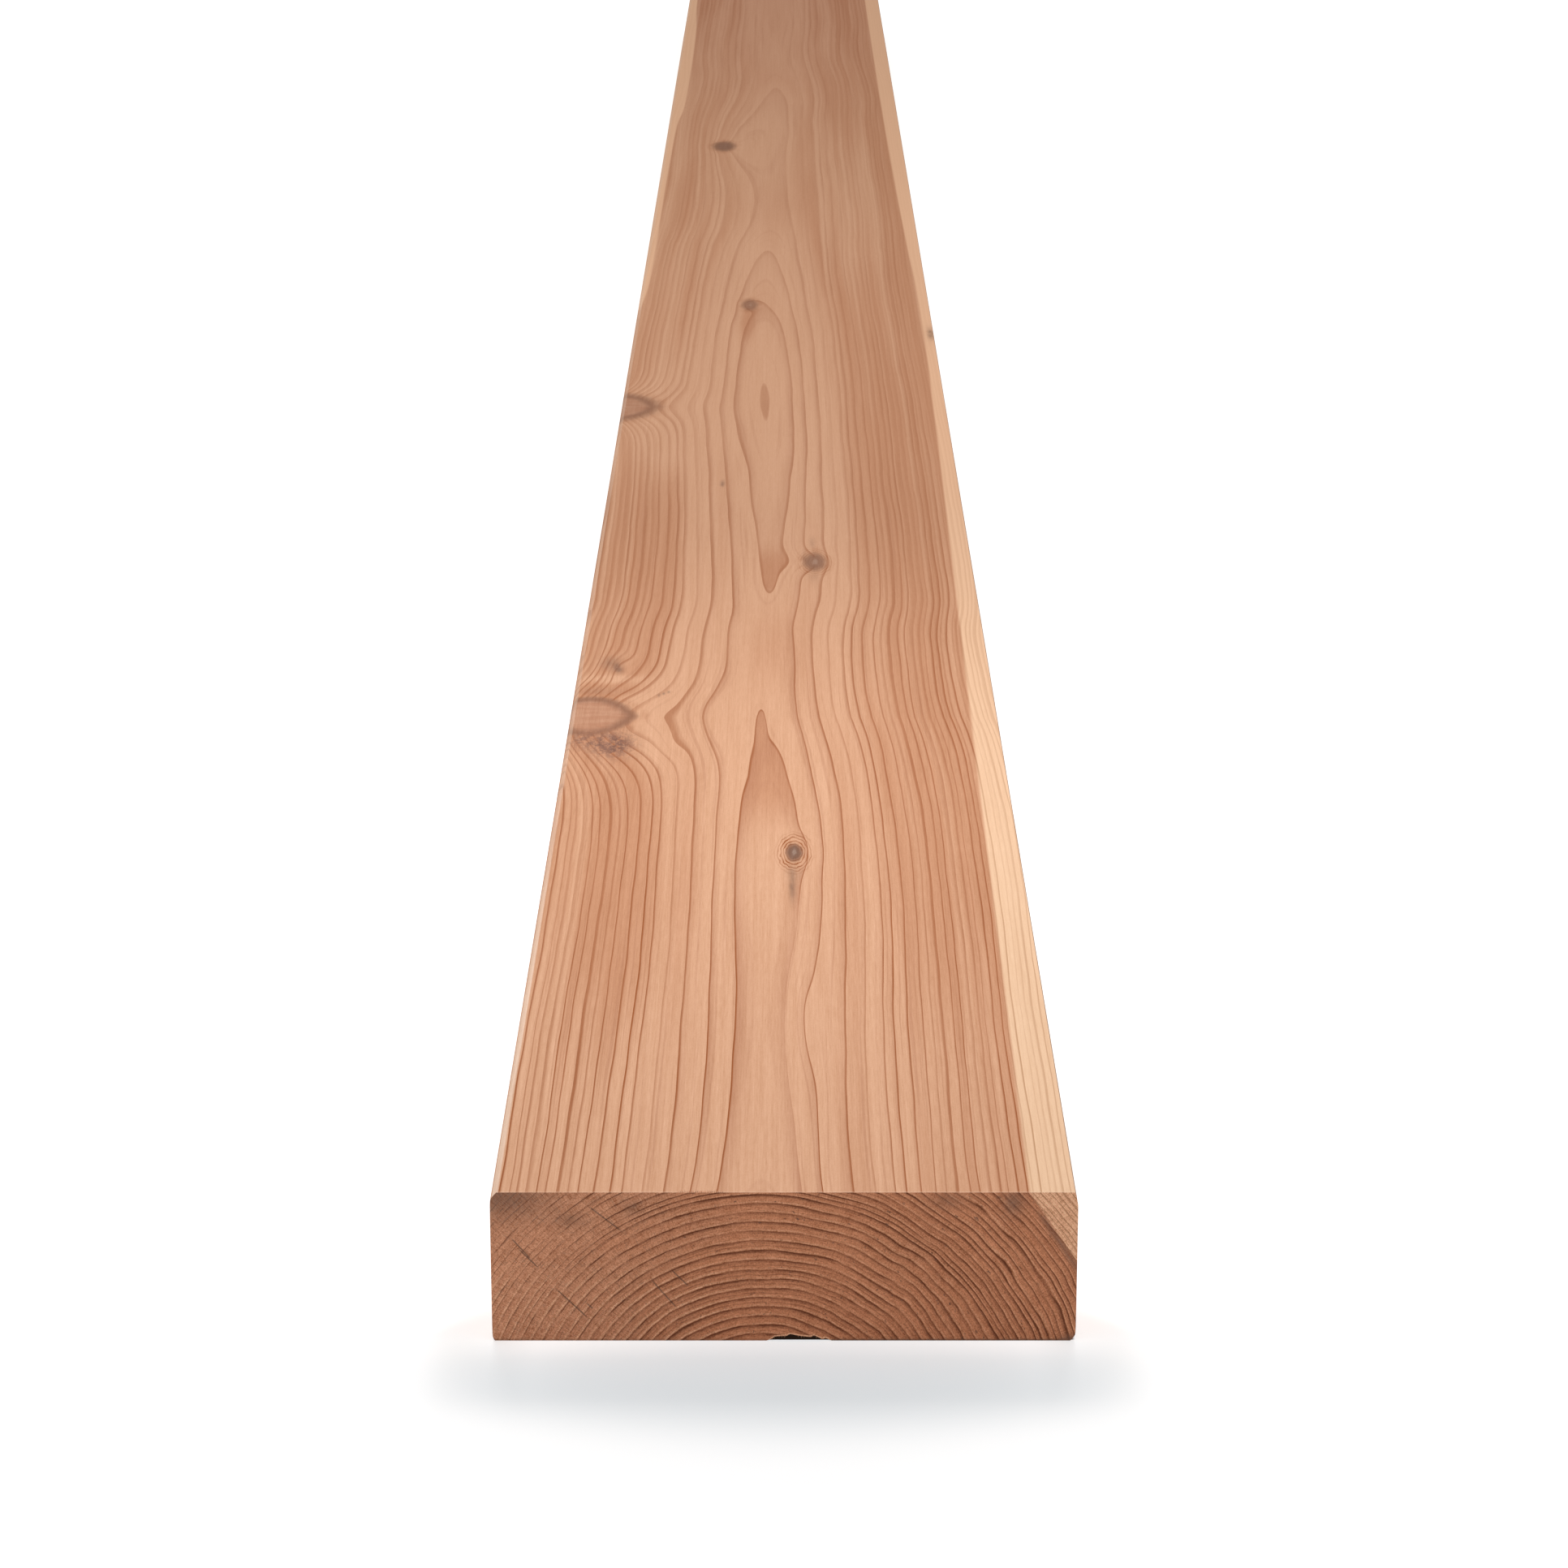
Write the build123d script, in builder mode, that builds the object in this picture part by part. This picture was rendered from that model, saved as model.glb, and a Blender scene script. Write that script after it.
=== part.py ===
"""Redwood board: one surfaced stick of nominal two-by-six stock with eased edges.

Millimetres, +Z up. The board lies flat along Y, with its origin under the middle of its bottom face.
The end at -Y is the one with the splintered tear-out along its bottom edge.
"""

import os

from build123d import *

# Driving dimensions of the stock
BOARD_LENGTH = 2438.4  # eight-foot stock
BOARD_WIDTH = 139.7  # dressed size of a nominal six
BOARD_THICKNESS = 38.1  # dressed size of a nominal two
EASED_EDGE = 1.6  # leg of the small bevel planed along each long edge

# Tear-out where the saw left the soft wood round the pith
TEAR_WIDTH = 15.3  # across the end, from first splinter to last
TEAR_HEIGHT = 1.8  # tallest splinter gap above the bottom face
TEAR_RUN = 34.0  # how far the split runs along the grain before it fades out
TEAR_OFFSET = 3.6  # from the middle of the board to the middle of the tear
TEAR_BELOW = 1.0  # how far the cutter reaches under the bottom face

# The ragged roof of the tear-out, as shares of its own width and height
SPLINTERS = (
    (0.00, 0.00),
    (0.08, 0.32),
    (0.12, 0.60),
    (0.32, 0.70),
    (0.35, 1.00),
    (0.50, 0.70),
    (0.69, 0.50),
    (0.72, 0.84),
    (0.88, 0.16),
    (0.90, 0.50),
    (1.00, 0.00),
)

near_end = Plane.XZ.offset(BOARD_LENGTH / 2)

with BuildPart() as board:
    # Planed section, with a bevel on each of its four corners, run to length
    with BuildSketch(near_end):
        with Locations((0, BOARD_THICKNESS / 2)):
            section = Rectangle(BOARD_WIDTH, BOARD_THICKNESS)
        chamfer(section.vertices(), length=EASED_EDGE)
    extrude(amount=-BOARD_LENGTH)

    # Splintered tear-out: its ragged outline slides down and out of the bottom face along the grain
    tear_left = TEAR_OFFSET - TEAR_WIDTH / 2
    tear_right = TEAR_OFFSET + TEAR_WIDTH / 2
    roof = [(tear_left + across * TEAR_WIDTH, up * TEAR_HEIGHT) for across, up in SPLINTERS]
    with BuildSketch(near_end) as tear:
        with BuildLine():
            Polyline(*roof, (tear_right, -TEAR_BELOW), (tear_left, -TEAR_BELOW), close=True)
        make_face()
    along_split = Vector(0, TEAR_RUN, -TEAR_HEIGHT)
    extrude(tear.sketch, amount=along_split.length, dir=along_split, mode=Mode.SUBTRACT)

board.part.label = "board"

os.makedirs("parts", exist_ok=True)
export_step(board.part, "parts/board.step")
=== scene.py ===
"""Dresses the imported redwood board: its planed faces with rings and knots, its sawn ends and its torn fibres.

The scene is in metres and the wood figure is in millimetres. The board lies along Y with its near end at -Y.
"""

import math
from collections import namedtuple

import bpy
import numpy as np
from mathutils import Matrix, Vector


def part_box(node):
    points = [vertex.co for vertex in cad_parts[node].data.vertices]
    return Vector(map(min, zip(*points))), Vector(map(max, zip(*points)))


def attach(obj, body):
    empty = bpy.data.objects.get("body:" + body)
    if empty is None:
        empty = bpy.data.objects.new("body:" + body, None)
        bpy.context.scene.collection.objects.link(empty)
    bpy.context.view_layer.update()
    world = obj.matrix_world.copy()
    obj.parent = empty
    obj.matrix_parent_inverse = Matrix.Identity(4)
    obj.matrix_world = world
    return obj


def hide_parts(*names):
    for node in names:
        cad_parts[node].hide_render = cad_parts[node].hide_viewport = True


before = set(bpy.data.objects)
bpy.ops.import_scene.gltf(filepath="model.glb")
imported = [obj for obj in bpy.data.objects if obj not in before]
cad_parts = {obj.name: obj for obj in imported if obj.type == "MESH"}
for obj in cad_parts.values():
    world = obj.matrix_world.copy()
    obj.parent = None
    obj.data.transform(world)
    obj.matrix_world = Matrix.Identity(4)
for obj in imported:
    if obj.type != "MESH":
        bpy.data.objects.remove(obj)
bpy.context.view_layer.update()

bl_info = {
    "name": "Redwood Board",
    "version": (1, 0, 0),
    "blender": (4, 5, 0),
    "location": "3D View > Sidebar > Redwood",
    "description": "Builds a planed redwood board with its wood figure, and a plain stage round it",
    "category": "Add Mesh",
}

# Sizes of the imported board, in millimetres
METRES = 0.001
LOW, HIGH = (np.array(corner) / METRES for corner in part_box("board"))
WIDTH, LENGTH, THICKNESS = HIGH - LOW

# The tear-out under the near end, as the solid has it: shares of its width and of its height
SPLINTERS = (
    (0.00, 0.00),
    (0.08, 0.32),
    (0.12, 0.60),
    (0.32, 0.70),
    (0.35, 1.00),
    (0.50, 0.70),
    (0.69, 0.50),
    (0.72, 0.84),
    (0.88, 0.16),
    (0.90, 0.50),
    (1.00, 0.00),
)

# By distance from the near end: the pith's depth under the top face, and its place across the board
PITH_DEPTH = (
    (0, 62.8),
    (110, 63.2),
    (260, 63.0),
    (350, 63.42),
    (417, 63.85),
    (500, 64.05),
    (578, 63.75),
    (750, 62.95),
    (895, 62.4),
    (1010, 62.7),
    (1128, 63.7),
    (1278, 64.95),
    (1450, 66.3),
    (1570, 66.45),
    (1700, 66.15),
    (1865, 66.85),
    (2000, 67.6),
    (2230, 67.25),
    (LENGTH, 67.9),
)
PITH_ACROSS = (
    (0, -4.5),
    (110, -4.2),
    (260, -3.4),
    (417, -7.2),
    (500, -8.0),
    (578, -5.0),
    (750, -6.0),
    (895, -7.3),
    (1128, -8.0),
    (1278, -7.4),
    (1450, -5.0),
    (1700, -5.8),
    (1865, -3.6),
    (2050, -6.6),
    (2230, -5.2),
    (LENGTH, -6.0),
)

# Where the sapwood starts on the top face, right and left of the middle
SAP_RIGHT = (
    (0, 58.3),
    (300, 60.0),
    (600, 62.0),
    (900, 64.0),
    (1050, 64.6),
    (1300, 63.0),
    (1500, 61.5),
    (1900, 60.0),
    (LENGTH, 59.5),
)
SAP_LEFT = (
    (0, 80.0),
    (950, 78.0),
    (1200, 66.0),
    (1500, 65.5),
    (1700, 64.5),
    (1800, 61.5),
    (2100, 61.0),
    (2300, 63.5),
    (LENGTH, 64.0),
)
SAP_SLANT = 0.645  # how far the sapwood's edge moves out for each millimetre down from the top face

# Rings by distance from the pith, in millimetres and in rings for each millimetre
SECOND_RING = 64.92  # radius of ring number 2
CLOSE_RINGS = 2.6  # width of the zone of close rings inside it
CLOSE_RATE = 0.8
INNER_RATE = 0.42  # inside that zone
OUTER_RATE = 0.508  # just outside ring number 2
CROWDING = 0.0043  # how much the mean rate outside it grows for each millimetre
LEAN = 0.02  # how much faster the rings come on the right than on the left

# Good and bad years: how far the ring count sways, its turns in radians for each ring, and its phase
YEARS = ((0.14, 2.1, 1.0), (0.08, 4.7, 0.0))

# Waves that push the wood sideways, and below the top face also up and down: their height,
# their turns in radians for each millimetre across, along and up, and their phase
RIPPLES = (
    (0.26, (0.09, 0.015, 0.11), 0.7),
    (0.16, (0.21, -0.034, -0.17), 2.1),
    (0.07, (0.53, 0.083, 0.42), 4.0),
    (0.04, (0.31, 0.163, -0.61), 5.2),
)
RIPPLE_DEPTH = 12.0  # how deep the push up and down is full

# Swellings of the rings on the top face: across, along, half width, half length and how far they push inwards
SWELLINGS = (
    (6.0, 118, 5.0, 48, -0.75),
    (10.0, 0, 5.0, 60, -0.3),
    (-7.3, 396, 1.5, 24, 0.34),
    (-60.0, 385, 20.0, 50, 4.0),
    (-4.8, 592, 2.4, 24, 0.24),
    (-16.0, 775, 5.5, 80, -0.50),
    (-12.0, 660, 3.5, 60, -0.22),
    (0.8, 618, 4.0, 24, 0.30),
    (3.0, 485, 5.0, 60, 0.5),
    (-23.0, 404, 6.0, 40, 0.75),
    (-36.0, 377, 6.0, 18, 0.85),
    (-30.0, 1624, 15.0, 120, 3.3),
)

# A branch runs up and out to its knot on the top face. Distances round it are shorter along the grain.
# Each knot has its place, the radius of its core, how wide and how pointed that is, how far it pulls the
# rings out and how wide that reaches, and how dark its heart is.
SQUEEZE = 3.6
BRANCH_RISE = 38.0
POINTED = 0.3  # how far the rings round a knot are drawn out to a point at its sides
BLUNT = 0.4  # how flat those points are, as a share of the reach
Knot = namedtuple("Knot", "across along core wide point pull reach dark")
KNOTS = (
    Knot(3.0, 265, 2.05, 1.0, 0.0, 0.6, 6.0, 0.95),
    Knot(11.4, 618, 2.9, 1.0, 0.0, 1.2, 6.0, 0.70),
    Knot(-16.4, 1127, 2.8, 1.0, 0.0, 0.8, 4.5, 0.60),
    Knot(-35.0, 1624, 4.4, 1.0, 0.0, 1.3, 8.0, 0.95),
    Knot(-72.0, 893, 9.5, 0.96, 0.3, 8.0, 13.0, 0.15),
    Knot(-63.5, 411, 9.4, 0.9, 0.55, 7.0, 15.5, 0.0),
    Knot(-56.5, 471, 0.5, 0.5, 0.0, 2.0, 6.0, 0.0),
)

# Stains on the top face: across, along, half width, half length and strength
STAINS = (
    (2.4, 232, 1.0, 12, 0.70),
    (2.6, 246, 2.2, 7, 0.35),
    (10.8, 596, 2.0, 8, 0.25),
    (10.6, 648, 1.2, 8, 0.30),
    (7.4, 624, 0.9, 10, 0.25),
    (68.0, 1055, 1.6, 14, 0.80),
    (-24.4, 747, 0.9, 5, 0.80),
    (-58.6, 476, 3.2, 8, 0.55),
    (-55.4, 467, 1.5, 4, 0.65),
    (-62.0, 441, 8.0, 5, 0.26),
    (-41.3, 436, 0.5, 2, 0.70),
    (-39.8, 438, 0.5, 1.6, 0.70),
    (-38.2, 440, 0.5, 1.6, 0.60),
)

# Torn grain round the large knot, listed as the stains are
TORN = (
    (-54.5, 378, 6.0, 13, 1.3),
    (-64.0, 383, 5.0, 9, 0.7),
)

# Patches of redder wood, or of paler wood where negative, on the top face, listed as the stains are
WARM = (
    (-46.0, 230, 14.0, 130, 0.75),
    (44.0, 420, 14.0, 420, 0.25),
    (-46.0, 640, 12.0, 130, 0.30),
    (-52.0, 1400, 10.0, 180, 0.40),
    (30.0, 1100, 14.0, 300, 0.20),
    (-6.0, 800, 6.0, 130, -0.6),
    (4.0, 820, 14.0, 130, -0.9),
    (-5.0, 490, 12.0, 70, 0.60),
    (-5.0, 1380, 12.0, 150, 0.55),
    (38.0, 520, 16.0, 140, -0.18),
    (36.0, 60, 18.0, 90, -0.35),
    (40.0, 1370, 14.0, 200, -0.25),
    (-40.0, 30, 18.0, 70, -0.45),
    (-17.0, 1085, 3.0, 40, 0.9),
    (-45.0, 870, 16.0, 80, -1.4),
    (-42.0, 398, 7.0, 34, -0.7),
    (-60.0, 442, 9.0, 6, 0.9),
    (-57.0, 456, 10.0, 5, -0.8),
    (-45.0, 430, 5.0, 5, -0.6),
)

# Where the red shading before a ring line stays away, listed as the stains are
CALM = ((-35.0, 393, 7.0, 24, 1.0),)

# Grey stains on the near end, the last of them painted shade in its lower right corner: across, up,
# half width, half height and strength
END_STAINS_AND_SHADE = (
    (-67.0, 37.0, 11.0, 6.0, 0.9),
    (-51.0, 31.0, 4.0, 2.0, 0.5),
    (-36.0, 34.0, 2.2, 1.6, 0.6),
    (38.5, 36.0, 4.0, 2.2, 0.5),
    (54.5, 35.5, 2.4, 3.2, 0.8),
    # Painted shade in the lower right corner, under its eased edge
    (68.8, 0.4, 2.6, 1.3, 1.0),
)

# Hairline checks in the near end, each from one point across and up to another
CHECKS = (
    ((-46.9, 35.0), (-38.2, 27.9)),
    ((-32.0, 16.2), (-25.3, 8.1)),
    ((-65.1, 26.7), (-59.9, 20.6)),
    ((-55.0, 14.0), (-46.5, 5.5)),
    ((-47.0, 9.6), (-45.6, 8.2)),
    ((-63.5, 24.0), (-58.3, 18.6)),
    ((-27.0, 18.5), (-22.5, 13.8)),
)

# Torn fibres along the near top edge: start and end across the board, rows of fibres and their length
FUZZ = (
    (-67.0, 67.0, 2, 0.16),
    (-66.0, -50.0, 2, 0.28),
    (-38.0, -30.0, 1, 0.30),
    (-25.0, -14.5, 5, 0.60),
    (1.0, 8.0, 2, 0.28),
    (30.0, 36.0, 1, 0.25),
)

# Roots of those fibres: the first row behind the near end, the step to the next, and the depth in the face
FIRST_ROW = 0.10
ROW_STEP = 0.12
ROOT_DEPTH = 0.08
LINE_POINTS = 12

# Roots of the fibres at the tear-out: behind the near end, and above the roof
TEAR_ROOT = (0.4, 0.2)

# Way of the fibres on the upper edge and at the tear-out, for a length of 1
EDGE_LEAN = np.array((0.0, -0.35, 1.0))
TEAR_LEAN = np.array((0.0, -0.6, -0.8))

# Places on the texture map: lower left corner and size of each end, and the long faces' start and extent
NEAR_END_MAP = ((0.005, 0.005), (0.70, 0.19))
FAR_END_MAP = ((0.72, 0.005), (0.27, 0.074))
LONG_FACES_MAP = (0.205, 0.79)

# On the ends: how far up they bend round the tear-out, the roof's height where its lip is palest, and
# how far in from the border the relief is full
TEAR_BEND = 8.0
LIP_HEIGHT = 0.4
RELIEF_BORDER = 1.2

# Arcs that the saw left on the ends: their middle across and up, radians for each millimetre, and height
SAW_MIDDLE = (-190.0, 150.0)
SAW_TURNS = 3.1
SAW_HEIGHT = 0.02

# The picture's focal length, and its horizon's height over the middle, in pixels of 1932
FOCAL_PIXELS = 5500
HORIZON_PIXELS = 1663
CAMERA_PITCH = math.atan2(HORIZON_PIXELS, FOCAL_PIXELS)

# The shadow painted into the floor's colour in front of the near end: how far in front it is deepest,
# its reach from there, how far aside it ends, and how far aside its reach is halved
PAINTED_SHADOW_MIDDLE = 22.0
PAINTED_SHADOW_REACH = 31.0
PAINTED_SHADOW_SIDE = 80.0
PAINTED_SHADOW_NARROW = 88.0

# Light that the lamps are taken to leave on that floor, by which the painted shadow's colour is lowered so
# that the two add up to it: its level, the loss at the near end, and how far out that fades
LIT_LEVEL = 0.72
LIT_LOSS = 0.44
LIT_FADE = 36.0

# Painted shade: the floor under the board is near black, as seen through the tear-out
PAINTED_UNDER_SHADE = (0.016, 0.009, 0.006)  # colour of the floor under the board
FLOOR_HALF = 20.0  # half the floor's side, in metres

# Lamps, in metres and degrees. They hang and aim so far behind the near end, and hang so high.
Lamp = namedtuple("Lamp", "name width depth spread behind height aim")
LAMPS = (
    Lamp("key", 1.0, 0.8, 160, 0.72, 1.2, 0.72),
    Lamp("back", 0.5, 0.35, 70, 0.75, 0.62, -0.03),
)


def number(name, description, default, **kind):
    """A number setting, with a unit or subtype where one fits."""
    return bpy.props.FloatProperty(name=name, description=description, default=default, **kind)


def millimetres(name, description, default):
    """A size setting in millimetres."""
    return number(name, f"{description}, in millimetres", default)


def count(name, description, default):
    """A whole number setting."""
    return bpy.props.IntProperty(name=name, description=description, default=default)


def tint(name, description, default):
    """A colour setting in scene-linear values."""
    return bpy.props.FloatVectorProperty(
        name=name, description=description, subtype="COLOR", size=3, min=0.0, max=1.0, default=default
    )


class BoardSettings(bpy.types.PropertyGroup):
    """Sizes of the board's visible mesh."""

    eased_edge: millimetres("Eased Edge", "Leg of the small bevel along the upper left edge", 1.6)
    lower_left_edge: millimetres("Lower Left Edge", "Leg of the bevel along the lower left edge", 0.6)
    lower_right_edge: millimetres("Lower Right Edge", "Leg of the bevel along the lower right edge", 1.3)
    right_edge_height: millimetres("Right Edge Height", "How far down the upper right bevel reaches", 3.0)
    right_edge_share: number("Right Edge Share", "How far in that bevel reaches, as a share of its height", 0.25)
    edge_softness: millimetres("Edge Softness", "How much a bevel rounds into the narrow faces", 0.5)
    tear_width: millimetres("Tear Width", "Width of the tear-out under the near end", 15.3)
    tear_height: millimetres("Tear Height", "Tallest gap of the tear-out", 1.8)
    tear_run: millimetres("Tear Run", "How far the tear-out runs along the grain", 34.0)
    tear_offset: millimetres("Tear Offset", "Middle of the tear-out, across from the board's middle", 3.6)
    end_relief: millimetres("End Relief", "How far the hard rings stand out of the sawn ends", 0.02)
    columns: count("Columns", "Faces across the near end, an even number", 280)
    rows: count("Rows", "Faces up the near end, an even number", 76)


class FuzzSettings(bpy.types.PropertyGroup):
    """Fibres that the saw tore up along the edges of the near end."""

    spacing: number("Spacing", "Between neighbouring fibres", 0.0005, unit="LENGTH")
    thickness: number("Thickness", "Of a fibre at its root", 0.00014, unit="LENGTH")
    spread: number("Spread", "How far the fibres turn aside", 0.7)
    splinter: number("Splinter", "Length of the fibres at the tear-out", 0.0009, unit="LENGTH")
    seed: count("Seed", "Changes the fibres' order", 7)


class FinishSettings(bpy.types.PropertyGroup):
    """Colours of the wood."""

    earlywood: tint("Earlywood", "Pale wood between the rings on the planed faces", (0.79, 0.44, 0.272))
    warm_wood: tint("Warm Wood", "Redder wood that comes in bands on the planed faces", (0.66, 0.325, 0.187))
    latewood: tint("Latewood", "Red shading that leads up to each ring line", (0.525, 0.235, 0.135))
    ring_line: tint("Ring Line", "Thin dark line at the end of each ring", (0.37, 0.11, 0.035))
    sapwood: tint("Sapwood", "Cream outer wood along the edges", (0.955, 0.63, 0.41))
    far_sapwood: tint("Far Sapwood", "Browner sapwood towards the far end", (0.97, 0.58, 0.365))
    sap_line: tint("Sap Line", "Ring lines in the sapwood", (0.52, 0.26, 0.13))
    # Painted shade: the wood is made darker and redder towards the far end, on top of the lamps' fall-off
    far_painted_shade: tint("Far Tint", "What the wood's colour is multiplied by at the far end", (0.93, 0.88, 0.89))
    # The bevels' colours are painted shade on the right and painted light on the left
    right_painted_shade: tint("Right Bevel", "Greyed bevel along the upper right edge", (0.40, 0.27, 0.21))
    left_painted_light: tint("Left Bevel", "Pale bevel along the upper left edge", (1.0, 0.72, 0.55))
    knot_heart: tint("Knot Heart", "Dark heart of a knot", (0.22, 0.125, 0.09))
    knot_grey: tint("Knot Grey", "Pale middle of a small knot", (0.36, 0.25, 0.20))
    knot_rim: tint("Knot Rim", "Outline of a knot", (0.33, 0.16, 0.10))
    knot_wood: tint("Knot Wood", "Paler wood inside a large knot", (0.62, 0.325, 0.205))
    torn_wood: tint("Torn Wood", "Dark torn grain beside the large knot", (0.29, 0.15, 0.11))
    end_wood: tint("End Wood", "Sawn end grain at the left", (0.76, 0.34, 0.19))
    end_warm: tint("End Warm", "Redder end grain at the right", (0.675, 0.27, 0.137))
    end_line: tint("End Line", "Dark ring lines on the sawn ends", (0.19, 0.058, 0.024))
    end_pale: tint("End Pale", "Pale ring lines on the sawn ends", (0.85, 0.43, 0.25))
    end_sap: tint("End Sap", "Sapwood on the sawn ends", (1.0, 0.54, 0.32))
    end_sap_line: tint("End Sap Line", "Ring lines in the sapwood on the sawn ends", (0.45, 0.19, 0.09))
    # Also the colour of the painted shade along the near end's bottom edge and in its lower right corner
    end_stain_and_shade: tint("End Stain", "Grey stain on the sawn ends", (0.20, 0.105, 0.07))


class StageSettings(bpy.types.PropertyGroup):
    """Camera, floor and light."""

    lens: number("Lens", "Focal length of the camera", 102.5, subtype="DISTANCE_CAMERA")
    camera_pitch: number("Camera Pitch", "How far the camera looks down", CAMERA_PITCH, subtype="ANGLE")
    camera_stand_off: number("Camera Stand-off", "In front of the near end", 0.985, unit="LENGTH")
    camera_height: number("Camera Height", "Above the top face", 0.399, unit="LENGTH")
    key_power: number("Key Power", "Overhead lamp", 3.1, unit="POWER")
    back_power: number("Back Power", "Lamp that casts the near end's shadow forward", 0.5, unit="POWER")
    sky: number("Sky", "Brightness of the light from all round", 0.56)
    floor_colour: tint("Floor", "Pale floor", (0.85, 0.85, 0.85))
    floor_white: tint("Floor White", "What the camera sees added to the lit floor", (0.65, 0.65, 0.65))
    # Painted shadow: the floor's colour where the shadow painted in front of the near end is deepest
    shadow: tint("Shadow", "The floor where the near end's shadow is deepest", (0.66, 0.705, 0.73))


def operation(kind):
    """A method that adds a Math node of a kind to a value."""

    def method(self, *others):
        return self.finish.maths(kind, self, *others)

    return method


def reflected(kind):
    """The same for a number in front of a value."""

    def method(self, other):
        return self.finish.maths(kind, other, self)

    return method


class Value:
    """A number on a shader socket. Arithmetic on it adds Math nodes to its finish."""

    def __init__(self, finish, socket):
        self.finish = finish
        self.socket = socket

    __add__ = operation("ADD")
    __radd__ = reflected("ADD")
    __sub__ = operation("SUBTRACT")
    __rsub__ = reflected("SUBTRACT")
    __mul__ = operation("MULTIPLY")
    __rmul__ = reflected("MULTIPLY")
    __truediv__ = operation("DIVIDE")
    __pow__ = operation("POWER")
    root = operation("SQRT")
    exp = operation("EXPONENT")
    sine = operation("SINE")
    angle = operation("ARCTAN2")
    floor = operation("FLOOR")
    fraction = operation("FRACT")
    size = operation("ABSOLUTE")
    least = operation("MINIMUM")
    most = operation("MAXIMUM")

    def __neg__(self):
        return self * -1.0

    def step(self, low, high):
        """Smoothly from 0 at low to 1 at high, where low may be the larger."""
        sockets = {"Value": self, "From Min": low, "From Max": high}
        made = self.finish.output("ShaderNodeMapRange", {"interpolation_type": "SMOOTHSTEP"}, sockets)
        return Value(self.finish, made)


class Tree:
    """A node tree under construction."""

    def __init__(self, tree):
        self.tree = tree

    def node(self, kind, settings=None, sockets=None):
        """Adds a node, sets its settings or a curve's points, and then fills or links its sockets."""
        made = self.tree.nodes.new(kind)
        for name, setting in (settings or {}).items():
            if name == "points":
                self.shape_curve(made.mapping, setting)
            else:
                setattr(made, name, setting)
        for name, content in (sockets or {}).items():
            source = content.socket if isinstance(content, Value) else content
            if isinstance(source, bpy.types.NodeSocket):
                self.tree.links.new(source, made.inputs[name])
            else:
                made.inputs[name].default_value = source
        return made

    def output(self, kind, settings=None, sockets=None, which=0):
        """Adds a node and returns one of its outputs."""
        return self.node(kind, settings, sockets).outputs[which]

    @staticmethod
    def shape_curve(mapping, points):
        """Puts a curve's two ends and the points between them in place."""
        curve = mapping.curves[0]
        curve.points[0].location = points[0]
        curve.points[1].location = points[-1]
        for point in points[1:-1]:
            curve.points.new(*point)
        mapping.update()


class Finish(Tree):
    """A material under construction."""

    def __init__(self, name):
        self.material = bpy.data.materials.new(name)
        self.material.use_nodes = True
        super().__init__(self.material.node_tree)
        self.tree.nodes.clear()

    def maths(self, operation, *numbers):
        return Value(self, self.output("ShaderNodeMath", {"operation": operation}, dict(enumerate(numbers))))

    def vector(self, operation, first, second):
        return self.output("ShaderNodeVectorMath", {"operation": operation}, {0: first, 1: second})

    def dot(self, first, second):
        sockets = {0: first, 1: second}
        return Value(self, self.output("ShaderNodeVectorMath", {"operation": "DOT_PRODUCT"}, sockets, "Value"))

    def scale(self, vector, by):
        return self.output("ShaderNodeVectorMath", {"operation": "SCALE"}, {"Vector": vector, "Scale": by})

    def parts(self, vector):
        made = self.node("ShaderNodeSeparateXYZ", None, {"Vector": vector})
        return [Value(self, output) for output in made.outputs]

    def join(self, x, y, z):
        return self.output("ShaderNodeCombineXYZ", None, {"X": x, "Y": y, "Z": z})

    def mix(self, share, first, second, blend="MIX"):
        """A colour between two, each a socket or three numbers."""
        sockets = {0: share}
        for place, colour in ((6, first), (7, second)):
            sockets[place] = colour if isinstance(colour, bpy.types.NodeSocket) else (*colour, 1.0)
        return self.output("ShaderNodeMix", {"data_type": "RGBA", "blend_type": blend}, sockets, 2)

    def noise(self, vector, pitch, detail=2.0, roughness=0.5):
        """Soft noise about 0, from -1 to 1 at most, whose lumps are as large as pitch says."""
        sized = self.vector("DIVIDE", vector, pitch)
        sockets = {"Vector": sized, "Scale": 1.0, "Detail": detail, "Roughness": roughness}
        made = self.output("ShaderNodeTexNoise", {"noise_dimensions": "3D"}, sockets, "Fac")
        return Value(self, made) * 2.0 - 1.0

    def dice(self, whole):
        """A random number from 0 to 1 for each whole number."""
        made = self.output("ShaderNodeTexWhiteNoise", {"noise_dimensions": "1D"}, {"W": whole + 0.5}, "Value")
        return Value(self, made)

    def along_curve(self, points, share):
        """The smooth curve through points of distance and value, read at a share of the length."""
        values = [value for _, value in points]
        low, high = min(values), max(values)
        shaped = [(distance / LENGTH, (value - low) / (high - low)) for distance, value in points]
        made = self.output("ShaderNodeFloatCurve", {"points": shaped}, {"Value": share})
        return Value(self, made) * (high - low) + low

    def surface(self, colour, roughness, height, relief, shine):
        """Ends the tree in a Principled shader, with relief in metres for a height of 1."""
        bump = self.output("ShaderNodeBump", None, {"Height": height, "Distance": relief, "Strength": 1.0})
        sockets = {"Base Color": colour, "Roughness": roughness, "Normal": bump}
        shader = self.node("ShaderNodeBsdfPrincipled", None, sockets)
        shader.inputs["Specular IOR Level"].default_value = shine
        self.node("ShaderNodeOutputMaterial", None, {"Surface": shader.outputs["BSDF"]})
        return self.material


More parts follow.
